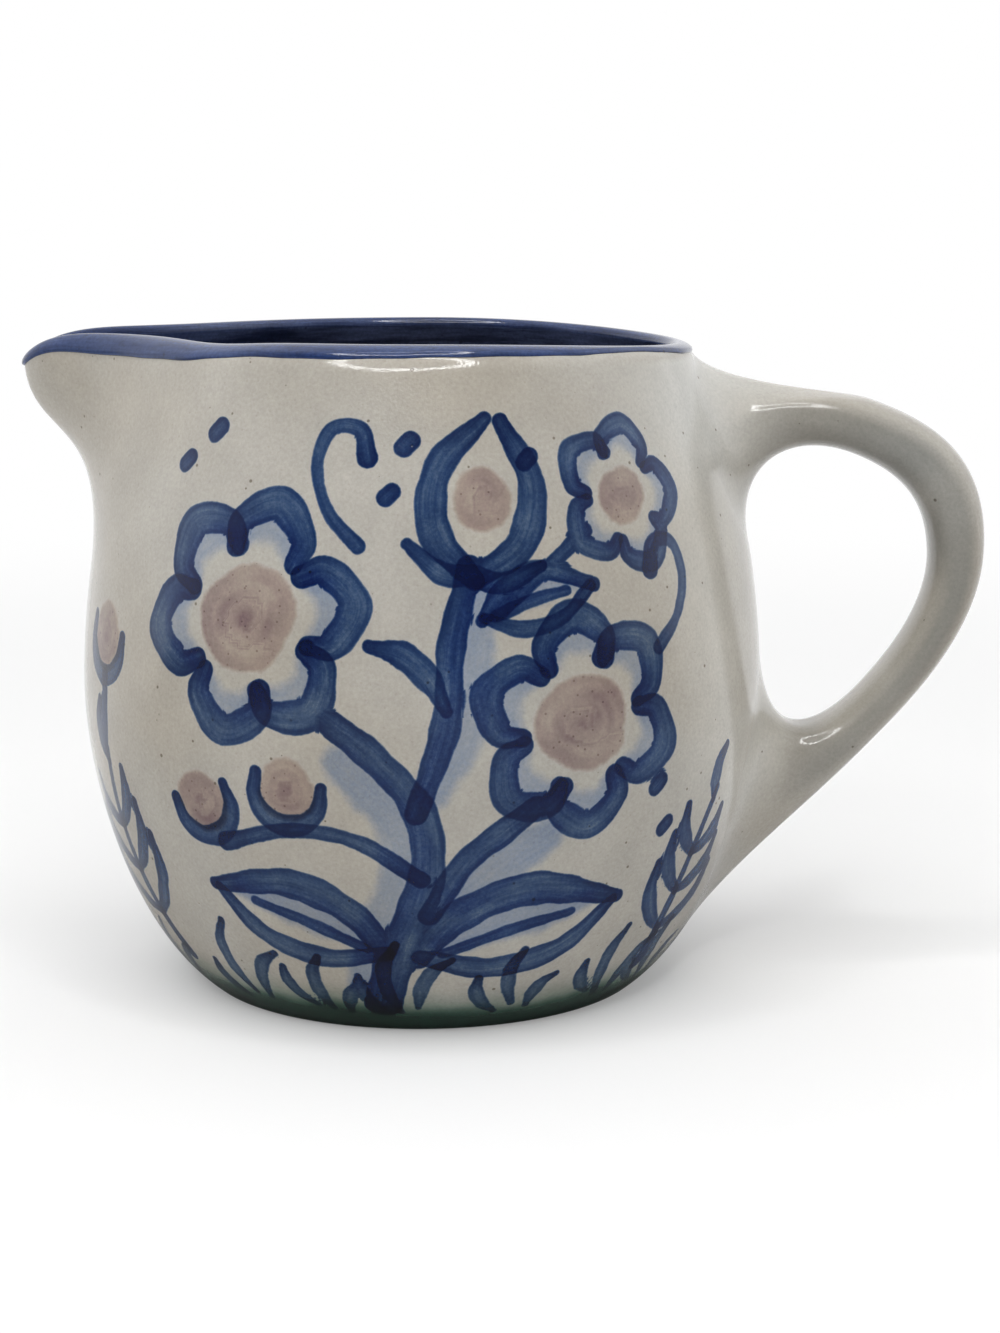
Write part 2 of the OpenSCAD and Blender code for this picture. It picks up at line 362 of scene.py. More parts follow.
def keep(piece, name, values):
    """Keeps a number or a vector at each vertex, for the materials to read."""
    values = np.asarray(values, np.float32)
    kind, field = ("FLOAT", "value") if values.ndim == 1 else ("FLOAT_VECTOR", "vector")
    layer = piece.data.attributes.new(name, kind, "POINT")
    layer.data.foreach_set(field, values.ravel())


def steps(start, end, count):
    return list(np.linspace(start, end, count, endpoint=False))


def ring_points(angle, section):
    return turned(angle, section[:, 0], section[:, 1])


# Stations of the body: hollow from -2 to 0, foot 0 to 1, low wall 1 to 2, middle 2 to 3,
# top 3 to 4, lip 4 to 5, then the inside wall and floor, 5 to 9.
body_stations = (steps(-2, -1, 4) + steps(-1, 0, 9) + steps(0, 1, 5) + steps(1, 2, 78)
                 + steps(2, 3, 28) + steps(3, 4, 42) + steps(4, 5, 10) + steps(5, 6, 6)
                 + steps(6, 7, 3) + steps(7, 8, 12) + steps(8, 9, 3) + [9])


def hollow_at(share):
    """The base, from its middle over the turned hollow to the flat foot ring."""
    ring_in = foot_r - foot_ring_w
    line = np.array([[0, foot_hollow], [ring_in - 3.2, foot_hollow],
                     [ring_in - foot_hollow - 0.3, foot_hollow - 0.05],
                     [ring_in - 0.35, 0.25], [ring_in + 0.15, 0.03],
                     [ring_in + 0.6, 0], [foot_r, 0]])
    at = np.array([0, 0.5, 1.0, 1.4, 1.55, 1.65, 2.0])
    return stack(*(np.interp(share, at, line[:, i]) for i in (0, 1)))


def body_at(angle, station):
    return stretch_by_stretch(angle, station, (
        lambda a, t: hollow_at(t),
        lambda a, t: hollow_at(t + 1),
        lambda a, t: foot_at(t),
        lambda a, t: curve_at(low_wall, t),
        lambda a, t: curve_at(outside_mid, t),
        lambda a, t: curve_at(outside_top_at(a), t),
        lambda a, t: lip_at(a, t, 0 * t),
        lambda a, t: inside_at(a, t, 0.0)), first=-2)


# ---- brushwork

coats = ("wash", "mauve", "grass", "cobalt_1", "cobalt_2", "cobalt_3")
far, out_of_reach = 9.0, [0.0, 0.0, -500.0]
# Spacing of the points of a stroke, how far past its edge the wall is worked out, and how
# far on each stroke's streaks begin, so that no two are alike
bead, beyond, streak_shift = 0.4, 2.5, 37.0
most_pairs = 3000000
# How full the brush is along a stroke
stem_load, twig_load = (1.3, 0.85, 0.75, 1.2), (1.1, 0.8, 0.8, 1.2)
thread_load, wash_load = (1, 0.8, 1.2), (1.0, 0.7, 1.0)


class Canvas:
    """The outer wall as the brush meets it: for each coat, how far each point lies from
    the edge of the nearest stroke, its place along and across it, and the paint there."""

    def __init__(self, points, outside):
        self.at = np.where(outside[:, None], points, out_of_reach)
        n = len(points)
        self.place = {c: np.tile([far, 0.0, 0.0], (n, 1)) for c in coats}
        self.heart = {c: points.copy() for c in coats}
        self.paint = {c: np.zeros((n, 3)) for c in coats}
        self.count, self.around = 0, 0.0

    def lay(self, coat, which, edge, along, across, heart, load, half):
        better = edge < self.place[coat][which, 0]
        q = which[better]
        along = along + streak_shift * self.count
        self.place[coat][q] = stack(edge, along, across)[better]
        self.heart[coat][q] = heart[better]
        self.paint[coat][q] = stack(load, half, 0 * half)[better]


def smooth_line(points):
    """A smooth line through given points."""
    p = np.array(points, float)
    p = np.vstack([2 * p[0] - p[1], p, 2 * p[-1] - p[-2]])
    t = np.linspace(0, 1, 24, endpoint=False)[:, None]
    out = [0.5 * (2 * b + (c - a) * t + (2 * a - 5 * b + 4 * c - d) * t ** 2
                  + (3 * b - a - 3 * c + d) * t ** 3)
           for a, b, c, d in zip(p, p[1:], p[2:], p[3:])]
    return np.vstack(out + [p[-2:-1]])


def stroke(coat, points, widths, loads):
    """One stroke through points of (angle from the front, height)."""
    line = smooth_line(points) + [FRONT + canvas.around, 0]
    path = on_wall(line[:, 0], line[:, 1])
    run = np.concatenate([[0], np.cumsum(length(path[1:] - path[:-1]))])
    s = np.linspace(0, run[-1], max(int(run[-1] / bead), 2) + 1)
    path = stack(*(np.interp(s, run, path[:, i]) for i in range(3)))
    line = stack(*(np.interp(s, run, line[:, i]) for i in range(2)))
    ahead = unit(np.gradient(path, axis=0))
    side = np.cross(outward(line[:, 0], line[:, 1]), ahead)
    share = s / s[-1]
    canvas.count += 1
    sway = 2.4 * canvas.count
    hand = 1 + 0.05 * np.sin(0.55 * s + sway) + 0.04 * np.sin(1.3 * s + 1.7 * sway)
    width = np.interp(share, np.linspace(0, 1, len(widths)), widths) * hand
    load = np.interp(share, np.linspace(0, 1, len(loads)), loads)
    reach = max(widths) / 2 + beyond
    near = np.all((canvas.at > path.min(0) - reach) & (canvas.at < path.max(0) + reach),
                  axis=1).nonzero()[0]
    for part in np.array_split(near, len(near) * len(s) // most_pairs + 1):
        if len(part) == 0:
            continue
        gap = canvas.at[part][:, None, :] - path[None, :, :]
        i = (gap * gap).sum(-1).argmin(1)
        gap = gap[np.arange(len(part)), i]
        along, across = (gap * ahead[i]).sum(-1), (gap * side[i]).sum(-1)
        heart = path[i] + np.clip(along, -bead / 2, bead / 2)[:, None] * ahead[i]
        edge = length(canvas.at[part] - heart) - width[i] / 2
        canvas.lay(coat, part, edge, s[i] + along, across, heart, load[i], width[i] / 2)


def placed(points, at, turn=0.0, flip=1.0, size=1.0):
    """A motif's own points, turned and put on the wall at (angle from the front, height)."""
    p = np.array(points, float) * [size, size * flip]
    t = math.radians(turn)
    x = p[:, 0] * math.cos(t) - p[:, 1] * math.sin(t)
    h = at[1] + p[:, 0] * math.sin(t) + p[:, 1] * math.cos(t)
    r = wall_r(np.full(len(h), FRONT + at[0]), h)
    return stack(at[0] + np.degrees(x / r), h)


def dab(at, radius, turn=0.0, load=1.0):
    """A round dab: a full brush turned outwards nearly twice."""
    t = np.linspace(0, 1, 22)
    way = np.radians(turn + 640 * t)
    uneven = 1 + 0.09 * np.sin(2 * way + turn) + 0.06 * np.sin(3 * way + 2 * turn)
    out = radius * np.minimum(0.05 + 0.95 * t, 0.57) * uneven
    spiral = stack(out * np.cos(way), 0.95 * out * np.sin(way))
    stroke("mauve", placed(spiral, at), [radius * 0.86] * 2,
           (1.4 * load, 0.7 * load, 1.05 * load, 0.65 * load, 1.2 * load, 0.75 * load))


def comma(coat, at, long, turn, flip, wide):
    """A short leaf laid with one press of the brush."""
    side = [(0, 0), (0.32, 0.12), (0.7, 0.13), (1.0, -0.03)]
    stroke(coat, placed(side, at, turn, flip, long),
           [wide * 0.45, wide * 0.95, wide, wide * 0.5], (0.9, 0.75, 0.85, 1.35))


def curl(at, long, turn, flip):
    """A tendril that ends in a round touch of the brush."""
    side = [(0, 0), (0.35, 0.1), (0.72, 0.03), (0.93, -0.2), (0.82, -0.42), (0.6, -0.38)]
    stroke("cobalt_3", placed(side, at, turn, flip, long),
           [1.9, 1.5, 1.5, 1.6, 1.9, 2.5], (1.0, 0.75, 0.7, 0.75, 0.9, 1.35))


def touches(spots):
    """Round touches of the brush's tip."""
    for x, h in spots:
        stroke("cobalt_1", [(x - 0.3, h - 0.2), (x, h), (x + 0.4, h + 0.3)],
               [2.3, 2.3], (1.1, 1.3))


def sprig(at, long, turn):
    """A thin stalk with pairs of comma leaves and one at its tip."""
    pairs, wide = 3, 2.6
    stalk = [(0, 0), (0.3, 0.04), (0.65, 0.03), (0.95, -0.03)]
    stroke("cobalt_1", placed(stalk, at, turn, 1, long),
           [2.0, 1.6, 1.3, 1.2], (1.1, 0.8, 0.75, 0.9))
    for i in range(pairs):
        spot = placed([(0.2 + 0.62 * i / pairs, 0.035)], at, turn, 1, long)[0]
        size = long * (0.44 - 0.07 * i)
        comma("cobalt_2", spot, size, turn + 40, 1, wide)
        comma("cobalt_3", spot, size, turn - 40, -1, wide)
    comma("cobalt_2", placed([(0.9, -0.02)], at, turn, 1, long)[0], long * 0.27, turn, 1, wide)


def berry(at, radius, turn):
    """A mauve fruit held in a blue cup that opens towards a turn."""
    dab(at, radius, turn)
    cup = placed(radius * 1.16 * heading(np.linspace(turn + 75, turn + 285, 7)), at)
    stroke("cobalt_1", cup, [1.6, 2.6, 3.0, 2.5, 1.5], (1.2, 0.8, 0.85, 0.8, 1.3))


def leaf(at, long, turn, flip, full=1.0):
    """A broad leaf: pale wash, two dark sides and a rib."""
    k = long / 24

    def part(coat, points, widths, loads):
        points = [(x, y * full) for x, y in points]
        stroke(coat, placed(points, at, turn, flip, long), widths, loads)

    part("wash", [(0.14, 0.05), (0.45, 0.08), (0.84, 0.05)],
         [3.0 * k, 5.0 * k, 5.0 * k, 2.2 * k], (1, 0.8, 1.1))
    part("cobalt_1", [(0, 0), (0.24, 0.17), (0.6, 0.2), (1.0, 0.0)],
         [2.6 * k, 3.9 * k, 4.3 * k, 3.6 * k, 1.8], (1.3, 0.85, 0.75, 0.9, 1.35))
    part("cobalt_2", [(0.02, 0), (0.3, -0.14), (0.65, -0.15), (0.97, -0.01)],
         [2.2 * k, 3.0 * k, 3.3 * k, 2.7 * k, 1.5], (1.2, 0.8, 0.7, 0.8, 1.25))
    part("cobalt_3", [(0.12, 0.0), (0.45, 0.03), (0.74, 0.02)], [1.5, 1.8, 1.3], (1.0, 0.7, 0.8))


def blossom(at, size, turn, petals=6, centre=0.235):
    """An open flower: a mauve middle, washed petals and a scalloped outline."""
    dab(at, centre * size, turn)
    step = 360.0 / petals

    def round_petal(mid, places):
        return [r * heading(mid + off * step) for off, r in places]

    k = size / 28
    for i in range(petals):
        mid = turn + i * step + 5 * math.sin(2.1 * i + turn)
        inner = round_petal(mid, [(-0.36, 0.345), (-0.15, 0.385), (0.15, 0.385), (0.36, 0.345)])
        outer = round_petal(mid, [(-0.46, 0.32), (-0.36, 0.42), (0, 0.5), (0.36, 0.42),
                                  (0.46, 0.32)])
        stroke("wash", placed(inner, at, size=size), [2.6 * k, 3.4 * k, 2.6 * k], (0.9, 0.7, 1.0))
        stroke("cobalt_1" if i % 2 else "cobalt_2", placed(outer, at, size=size),
               [2.5 * k, 3.7 * k, 4.2 * k, 3.8 * k, 2.6 * k], (1.25, 0.85, 0.75, 0.9, 1.35))


def bud(at, size, turn):
    """A closed flower on its stalk, with a mauve heart and two sepals."""
    dab(placed([(0.5, 0)], at, turn, 1.0, size)[0], 0.2 * size, turn, 0.9)
    for coat, flip in (("cobalt_1", 1), ("cobalt_2", -1)):
        side = [(0, 0), (0.26, 0.29), (0.66, 0.31), (1.0, 0.06)]
        stroke(coat, placed(side, at, turn, flip, size),
               [2.8, 3.9, 4.0, 3.4, 1.9], (1.3, 0.9, 0.8, 0.9, 1.3))
        sepal = [(0.02, 0), (0.0, 0.2), (0.14, 0.44)]
        stroke("cobalt_3", placed(sepal, at, turn, flip, size), [2.8, 2.6, 1.5], (1.0, 0.8, 1.1))


def front_spray():
    """The large plant on the front: three flowers, a bud, fruit and broad leaves."""
    for points in ([(-10, 8), (-6, 16), (-1.5, 25), (-3, 32), (-11, 39)],
                   [(3, 36), (8, 45), (9, 54), (11, 60)], [(8, 21), (15, 26), (21, 29)]):
        stroke("wash", points, [4.5, 6.2, 6.0, 4.4], (1.0, 0.7, 0.8, 1.0))
    stroke("cobalt_1", [(-7, 5), (-3, 14), (2, 24), (1, 33), (-6, 40), (-14, 45)],
           [5.2, 4.7, 4.7, 4.3, 3.8, 3.4], (1.3, 0.9, 0.8, 0.75, 0.8, 1.2))
    stroke("cobalt_2", [(2.6, 19), (8, 26), (14, 30), (19, 33)], [2.8, 3.3, 3.4, 3.0], twig_load)
    stroke("cobalt_2", [(0.5, 33), (5, 44), (6, 54), (9, 63)], [2.8, 3.6, 3.4, 3.2], twig_load)
    stroke("cobalt_2", [(1, 24), (-9, 29), (-20, 30), (-32, 27.5)],
           [2.4, 2.0, 1.9, 2.4], (1.1, 0.75, 0.75, 1.2))
    blossom((-27, 56.5), 29, 12)
    blossom((27, 43.5), 27, 40)
    blossom((38, 71), 18, 0, 5, 0.2)
    bud((9.5, 62), 19, 80)
    berry((-20, 35.2), 4.0, 80)
    berry((-36, 32.5), 4.0, 110)
    leaf((-5, 13), 25, 161, -1)
    leaf((0.5, 12.5), 28, 14, 1)
    comma("cobalt_1", (5, 46), 12, 138, -1, 3.4)
    leaf((11, 57), 15, 14, 1, 1.2)
    stroke("cobalt_1", [(14, 58), (22, 63), (29, 67)], [1.8, 1.7, 2.2], thread_load)
    curl((-9, 66), 15, 118, 1)
    curl((42, 52), 14, 60, -1)
    touches([(-4, 72), (-1, 78), (20, 76), (-44, 75), (-38, 79), (45, 28), (42, 34)])


def small_spray():
    """A smaller plant: one flower, a bud and two leaves."""
    stroke("wash", [(3, 8), (0, 18), (3, 28), (1, 34)], [4.4, 6.0, 4.4], wash_load)
    stroke("cobalt_1", [(0, 5), (-3, 16), (1, 27), (-2, 37)], [4.6, 4.2, 4.0, 3.4], stem_load)
    stroke("cobalt_2", [(0, 24), (8, 34), (16, 40), (20, 47)], [2.6, 2.8, 2.8, 2.8], twig_load)
    blossom((-6, 52), 27, 25)
    bud((20, 46), 17, 62)
    leaf((-2, 13), 22, 155, -1)
    leaf((0, 14), 22, 24, 1)
    berry((-29, 36), 3.9, 100)
    stroke("cobalt_2", [(-1, 24), (-12, 28), (-22, 31)], [2.0, 1.8, 2.2], thread_load)
    curl((9, 66), 13, 75, 1)
    touches([(-33, 58), (-36, 64), (-31, 68)])


def decoration():
    front_spray()
    canvas.around = 178.0
    small_spray()
    canvas.around = 0.0
    stroke("wash", [(-124, 8), (-126, 17), (-122, 28), (-124, 36)], [4.0, 5.4, 4.0], wash_load)
    stroke("cobalt_1", [(-127, 5), (-129, 16), (-125, 27), (-127, 38)],
           [4.4, 4.0, 3.8, 3.4], stem_load)
    blossom((-127, 51), 25, 54, 5)
    leaf((-127, 13), 19, 150, -1)
    leaf((-127, 14), 19, 30, 1)
    touches([(-109, 66), (-112, 72), (-116, 78)])
    sprig((-55, 8), 30, 104)
    sprig((52, 7), 26, 78)
    sprig((128, 7), 28, 100)
    berry((-62, 51), 4.4, 80)
    stroke("cobalt_2", [(-63, 37), (-62, 41), (-62, 46)], [1.8, 1.6, 2.0], thread_load)
    stroke("cobalt_1", [(-90, 6), (-92, 18), (-89, 28), (-91, 37)],
           [4.0, 3.4, 3.2, 2.8], (1.3, 0.8, 0.8, 1.2))
    bud((-91, 36), 18, 92)
    leaf((-91, 14), 19, 146, -1)
    leaf((-91, 15), 19, 34, 1)
    touches([(-97, 62), (-91, 66), (-85, 62)])
    curl((136, 48), 15, 80, -1)
    for i, x in enumerate(range(-180, 180, 20)):
        for lean, long in ((62, 7.0), (92, 9.5), (120, 6.0)):
            h = 4.0 + 0.6 * math.sin(2.3 * i + lean)
            spot = (x + 3.4 * math.sin(1.9 * i) + 0.13 * (90 - lean), h)
            comma("grass", spot, long * (1 + 0.25 * math.sin(3.1 * i + lean)), lean, 1, 2.1)


# ---- node helpers

def feed(tree, node, inputs):
    """Feeds a node's sockets with links or values."""
    for key, value in inputs.items():
        socket = node.inputs[key]
        if isinstance(value, bpy.types.NodeSocket):
            tree.links.new(value, socket)
        else:
            socket.default_value = value
    return node


def wire(tree, kind, inputs=None, **settings):
    """A node with its settings and its inputs."""
    node = tree.nodes.new("ShaderNode" + kind)
    for key, value in settings.items():
        setattr(node, key, value)
    return feed(tree, node, inputs or {})


def maths(tree, operation, *values):
    return wire(tree, "Math", dict(enumerate(values)), operation=operation).outputs[0]


def times(tree, a, b):
    return maths(tree, "MULTIPLY", a, b)


def minus(tree, a, b):
    return maths(tree, "SUBTRACT", a, b)


def times_plus(tree, a, b, c):
    return maths(tree, "MULTIPLY_ADD", a, b, c)


def vectors(tree, operation, inputs, output="Vector"):
    return wire(tree, "VectorMath", inputs, operation=operation).outputs[output]


def split(tree, vector):
    return wire(tree, "SeparateXYZ", {"Vector": vector}).outputs


def object_place(tree):
    return wire(tree, "TexCoord").outputs["Object"]


def ramp(tree, value, low, high, out_low=0.0, out_high=1.0, smooth=True):
    return wire(tree, "MapRange",
                {"Value": value, "From Min": low, "From Max": high,
                 "To Min": out_low, "To Max": out_high},
                interpolation_type="SMOOTHSTEP" if smooth else "LINEAR").outputs[0]


def noise(tree, vector, scale, detail=2.0, rough=0.5):
    return wire(tree, "TexNoise",
                {"Vector": vector, "Scale": scale, "Detail": detail, "Roughness": rough}
                ).outputs["Fac"]


def uneven_noise(tree, *settings):
    """Noise that swings evenly to both sides of nought."""
    return minus(tree, noise(tree, *settings), 0.5)


def blend(tree, share, a, b, kind="MIX"):
    node = wire(tree, "Mix", data_type="RGBA", blend_type=kind)
    return feed(tree, node, {0: share, 6: a, 7: b}).outputs[2]


def attribute(tree, name, output="Fac"):
    return wire(tree, "Attribute", attribute_name=name,
                attribute_type="GEOMETRY").outputs[output]


def group(name, inputs, outputs):
    """A node group: its tree, what it is given, and its output node."""
    tree = bpy.data.node_groups.new(name, "ShaderNodeTree")
    for label, kind, value in inputs:
        socket = tree.interface.new_socket(label, in_out="INPUT", socket_type=kind)
        socket.default_value = value
    for label, kind in outputs:
        tree.interface.new_socket(label, in_out="OUTPUT", socket_type=kind)
    return tree, tree.nodes.new("NodeGroupInput").outputs, tree.nodes.new("NodeGroupOutput")


def use(tree, shared, inputs):
    return feed(tree, wire(tree, "Group", node_tree=shared), inputs).outputs


def clean_tree(owner):
    owner.use_nodes = True
    owner.node_tree.nodes.clear()
    return owner.node_tree


FLOAT, COLOUR, VECTOR = "NodeSocketFloat", "NodeSocketColor", "NodeSocketVector"

# ---- shared finishes

# Fine texture of the fired clay under its glaze
tree, given, out = group(
    "clay_grain", [], [("Cloud", FLOAT), ("Mottle", FLOAT), ("Grain", FLOAT), ("Speck", FLOAT),
                       ("Dust", FLOAT)])
clay_grain = tree
place = object_place(tree)
for label, settings in (("Cloud", (28, 2)), ("Mottle", (130, 3)), ("Grain", (2100, 2, 0.7))):
    feed(tree, out, {label: noise(tree, place, *settings)})
dots = wire(tree, "TexVoronoi", {"Vector": place, "Scale": 400})
chance = wire(tree, "SeparateColor", {"Color": dots.outputs["Color"]}).outputs[0]
speck_size = ramp(tree, chance, 0.35, 1, 0.03, 0.13, smooth=False)
speck = maths(tree, "DIVIDE", dots.outputs["Distance"], speck_size)
dust = wire(tree, "TexVoronoi", {"Vector": place, "Scale": 900}).outputs["Distance"]
feed(tree, out, {"Speck": ramp(tree, speck, 1.0, 0.5), "Dust": ramp(tree, dust, 0.17, 0.10)})

# Colour under a coat of transparent pigment: the ground times the pigment's own tint,
# once for each layer of it
tree, given, out = group(
    "pigment", [("Ground", COLOUR, (0.4, 0.38, 0.33, 1)), ("Tint", COLOUR, (0.5, 0.5, 0.5, 1)),
                ("Amount", FLOAT, 0.0)], [("Colour", COLOUR)])
pigment = tree
tinted = wire(tree, "Gamma", {"Color": given["Tint"], "Gamma": given["Amount"]})
feed(tree, out, {"Colour": blend(tree, 1.0, given["Ground"], tinted.outputs[0], "MULTIPLY")})

# Amount of paint that one coat of brushwork leaves. Place is (distance from the edge, along,
# across), Heart the nearest point of the stroke's middle line, Paint (load, half width, 0).
# The edge is worked out anew from the heart, and held near the one kept at the vertices.
edge_hold = 0.15
least_paint = 0.15
tree, given, out = group(
    "brushed", [("Place", VECTOR, (9, 0, 0)), ("Heart", VECTOR, (0, 0, 0)),
                ("Paint", VECTOR, (0, 0, 0)), ("Softness", FLOAT, 0.3), ("Rag", FLOAT, 0.5),
                ("Streak", FLOAT, 0.6), ("Pool", FLOAT, 0.35), ("Lanes", FLOAT, 1.7),
                ("Patch", FLOAT, 0.6), ("Hairs", FLOAT, 3.0)],
    [("Amount", FLOAT), ("Edge", FLOAT)])
brushed = tree
place = object_place(tree)
parts, paint = split(tree, given["Place"]), split(tree, given["Paint"])
away = vectors(tree, "DISTANCE", {0: place, 1: given["Heart"]}, "Value")
edge = minus(tree, times(tree, away, 1 / MM), paint["Y"])
edge = maths(tree, "MAXIMUM", edge, minus(tree, parts["X"], edge_hold))
edge = maths(tree, "MINIMUM", edge, maths(tree, "ADD", parts["X"], edge_hold))
edge = times_plus(tree, uneven_noise(tree, place, 650, 3, 0.6), given["Rag"], edge)
inside = ramp(tree, edge, given["Softness"], times(tree, given["Softness"], -1))
lanes = wire(tree, "CombineXYZ",
             {"X": times(tree, parts["Y"], 0.09),
              "Y": times(tree, parts["Z"], given["Lanes"])}).outputs[0]
level = 1.0
for part, share in ((uneven_noise(tree, lanes, 1.0, given["Hairs"], 0.6), given["Streak"]),
                    (uneven_noise(tree, place, 210, 3), given["Patch"]),
                    (uneven_noise(tree, place, 2300, 2, 0.7), 0.8),
                    (ramp(tree, edge, -1.1, -0.15), given["Pool"])):
    level = times_plus(tree, part, share, level)
amount = times(tree, times(tree, inside, paint["X"]), maths(tree, "MAXIMUM", level, least_paint))
feed(tree, out, {"Amount": amount, "Edge": edge})

# Skin of the glaze: slow ripples, fine orange peel, and a dimple at each speck
tree, given, out = group("glaze_skin", [("Speck", FLOAT, 0.0), ("Depth", FLOAT, 0.00004)],
                         [("Normal", VECTOR), ("Roughness", FLOAT)])
glaze_skin = tree
place = object_place(tree)
ripple = noise(tree, place, 150, 2, 0.5)
peel = noise(tree, place, 2700, 1, 0.5)
height = times_plus(tree, given["Speck"], -0.35, times_plus(tree, peel, 0.4, ripple))
height = times(tree, height, given["Depth"])
bump = wire(tree, "Bump", {"Height": height, "Strength": 1.0, "Distance": 1.0})
feed(tree, out, {"Normal": bump.outputs[0],
                 "Roughness": ramp(tree, ripple, 0.3, 0.7, 0.06, 0.13, smooth=False)})

# ---- materials

clay_light, clay_dark = (0.405, 0.385, 0.345, 1), (0.375, 0.345, 0.295, 1)
bare_colour, speck_colour = (0.42, 0.35, 0.27, 1), (0.24, 0.19, 0.14, 1)
dust_colour = (0.3, 0.22, 0.22, 1)
# What gathered glaze and painted shade, and milky glaze and painted light, do to the colour under
# them, and what one full layer of each pigment does
covers = {"thick_glaze_and_painted_shade": (0.50, 0.535, 0.57), "milky_glaze_and_painted_light": (1.34, 1.39, 1.46)}
wash_tint, tan_tint = (0.52, 0.64, 0.90, 1), (0.76, 0.62, 0.52, 1)
mauve_tint, grass_tint = (0.70, 0.63, 0.70, 1), (0.09, 0.17, 0.36, 1)
cobalt_tint, foot_tint = (0.018, 0.056, 0.225, 1), (0.39, 0.52, 0.49, 1)
# Overlapping cobalt coats add up towards a most, each leaving this share of the rest
cobalt_left, cobalt_most = 0.57, 1.72
rim_blues = (0.013, 0.028, 0.098, 1), (0.040, 0.064, 0.158, 1)
deep_blues = (0.017, 0.021, 0.044, 1), (0.085, 0.105, 0.195, 1)
blue_speck = (0.012, 0.014, 0.03, 1)
glaze_ior = 1.5


def new_material(name):
    material = bpy.data.materials.new(name)
    tree = clean_tree(material)
    surface = wire(tree, "BsdfPrincipled")
    wire(tree, "OutputMaterial", {"Surface": surface.outputs[0]})
    return material, tree, surface


def glazed(tree, surface, colour, roughness, normal):
    feed(tree, surface, {"Base Color": colour, "Roughness": roughness, "Normal": normal,
                         "IOR": glaze_ior})


def scaled(tree, vector, by):
    return vectors(tree, "SCALE", {0: vector, "Scale": by})


def swing(tree, value, low, high, out_low, out_high):
    return ramp(tree, value, low, high, out_low, out_high, smooth=False)


def clay_colour(tree, grain):
    """Pale warm grey stoneware, clouded, mottled and finely grained."""
    colour = blend(tree, ramp(tree, grain["Cloud"], 0.35, 0.65), clay_dark, clay_light)
    return scaled(tree, colour, times(tree, swing(tree, grain["Mottle"], 0.3, 0.7, 0.94, 1.06),
                                      swing(tree, grain["Grain"], 0.25, 0.75, 0.90, 1.10)))


def under(tree, ground, tint, amount):
    return use(tree, pigment, {"Ground": ground, "Tint": tint, "Amount": amount})["Colour"]


def coat_of(tree, name, soft, rag, streak, pool, lanes=1.7, patch=0.6, hairs=3.0):
    return use(tree, brushed, {
        "Place": attribute(tree, name, "Vector"),
        "Heart": attribute(tree, name + "_heart", "Vector"),
        "Paint": attribute(tree, name + "_paint", "Vector"),
        "Softness": soft, "Rag": rag, "Streak": streak, "Pool": pool,
        "Lanes": lanes, "Patch": patch, "Hairs": hairs})


def painting(tree, colour, grain):
    """The brushwork over the clay, coat by coat, and the wash at the foot."""
    wash = coat_of(tree, "wash", 0.9, 1.2, 0.6, 0.0)
    colour = under(tree, colour, wash_tint, wash["Amount"])
    mauve = coat_of(tree, "mauve", 0.4, 0.9, 2.2, 0.25, 0.55, 2.2, 0.6)
    colour = under(tree, colour, tan_tint, ramp(tree, mauve["Edge"], 0.4, -0.3, 0.0, 0.5))
    heart = times(tree, mauve["Amount"], ramp(tree, mauve["Edge"], 0.1, -1.6, 0.5, 1.0))
    colour = under(tree, colour, mauve_tint, heart)
    dusty = times(tree, grain["Dust"], ramp(tree, mauve["Edge"], 0.2, -0.6, 0.12, 0.55))
    colour = blend(tree, dusty, colour, dust_colour, "MULTIPLY")
    grass = coat_of(tree, "grass", 0.14, 0.4, 0.75, 0.3)
    colour = under(tree, colour, grass_tint, grass["Amount"])
    blue = 0.0
    for name in ("cobalt_1", "cobalt_2", "cobalt_3"):
        coat = coat_of(tree, name, 0.16, 0.3, 1.5, 0.45, 1.4, 1.1)
        blue = maths(tree, "ADD", coat["Amount"], blue)
    left = maths(tree, "POWER", cobalt_left, blue)
    colour = under(tree, colour, cobalt_tint, times(tree, minus(tree, 1.0, left), cobalt_most))
    place = object_place(tree)
    height = times_plus(tree, noise(tree, place, 75, 3), 0.0045, split(tree, place)["Z"])
    washed = ramp(tree, height, 0.0112, 0.0052)
    dark = ramp(tree, height, 0.0078, 0.0042, 0.0, 2.7)
    return under(tree, colour, foot_tint, times_plus(tree, washed, 0.8, dark))


def clear_glaze(name, painted):
    material, tree, surface = new_material(name)
    grain = use(tree, clay_grain, {})
    colour = clay_colour(tree, grain)
    # The thick glaze darkens the colour with painted shade and the milky glaze lightens it with
    # painted light; each is partly a real change of the glaze
    for cover, tint in covers.items():
        covered = vectors(tree, "MULTIPLY", {0: colour, 1: tint})
        colour = blend(tree, attribute(tree, cover), colour, covered)
    if painted:
        colour = painting(tree, colour, grain)
    colour = blend(tree, times(tree, grain["Speck"], 0.75), colour, speck_colour, "MULTIPLY")
    skin = use(tree, glaze_skin, {"Speck": grain["Speck"]})
    roughness = skin["Roughness"]
    if painted:
        bare = attribute(tree, "bare_clay")
        colour = blend(tree, bare, colour, bare_colour)
        roughness = wire(tree, "Mix", {0: bare, 2: roughness, 3: 0.75},
                         data_type="FLOAT").outputs[0]
    glazed(tree, surface, colour, roughness, skin["Normal"])
    return material


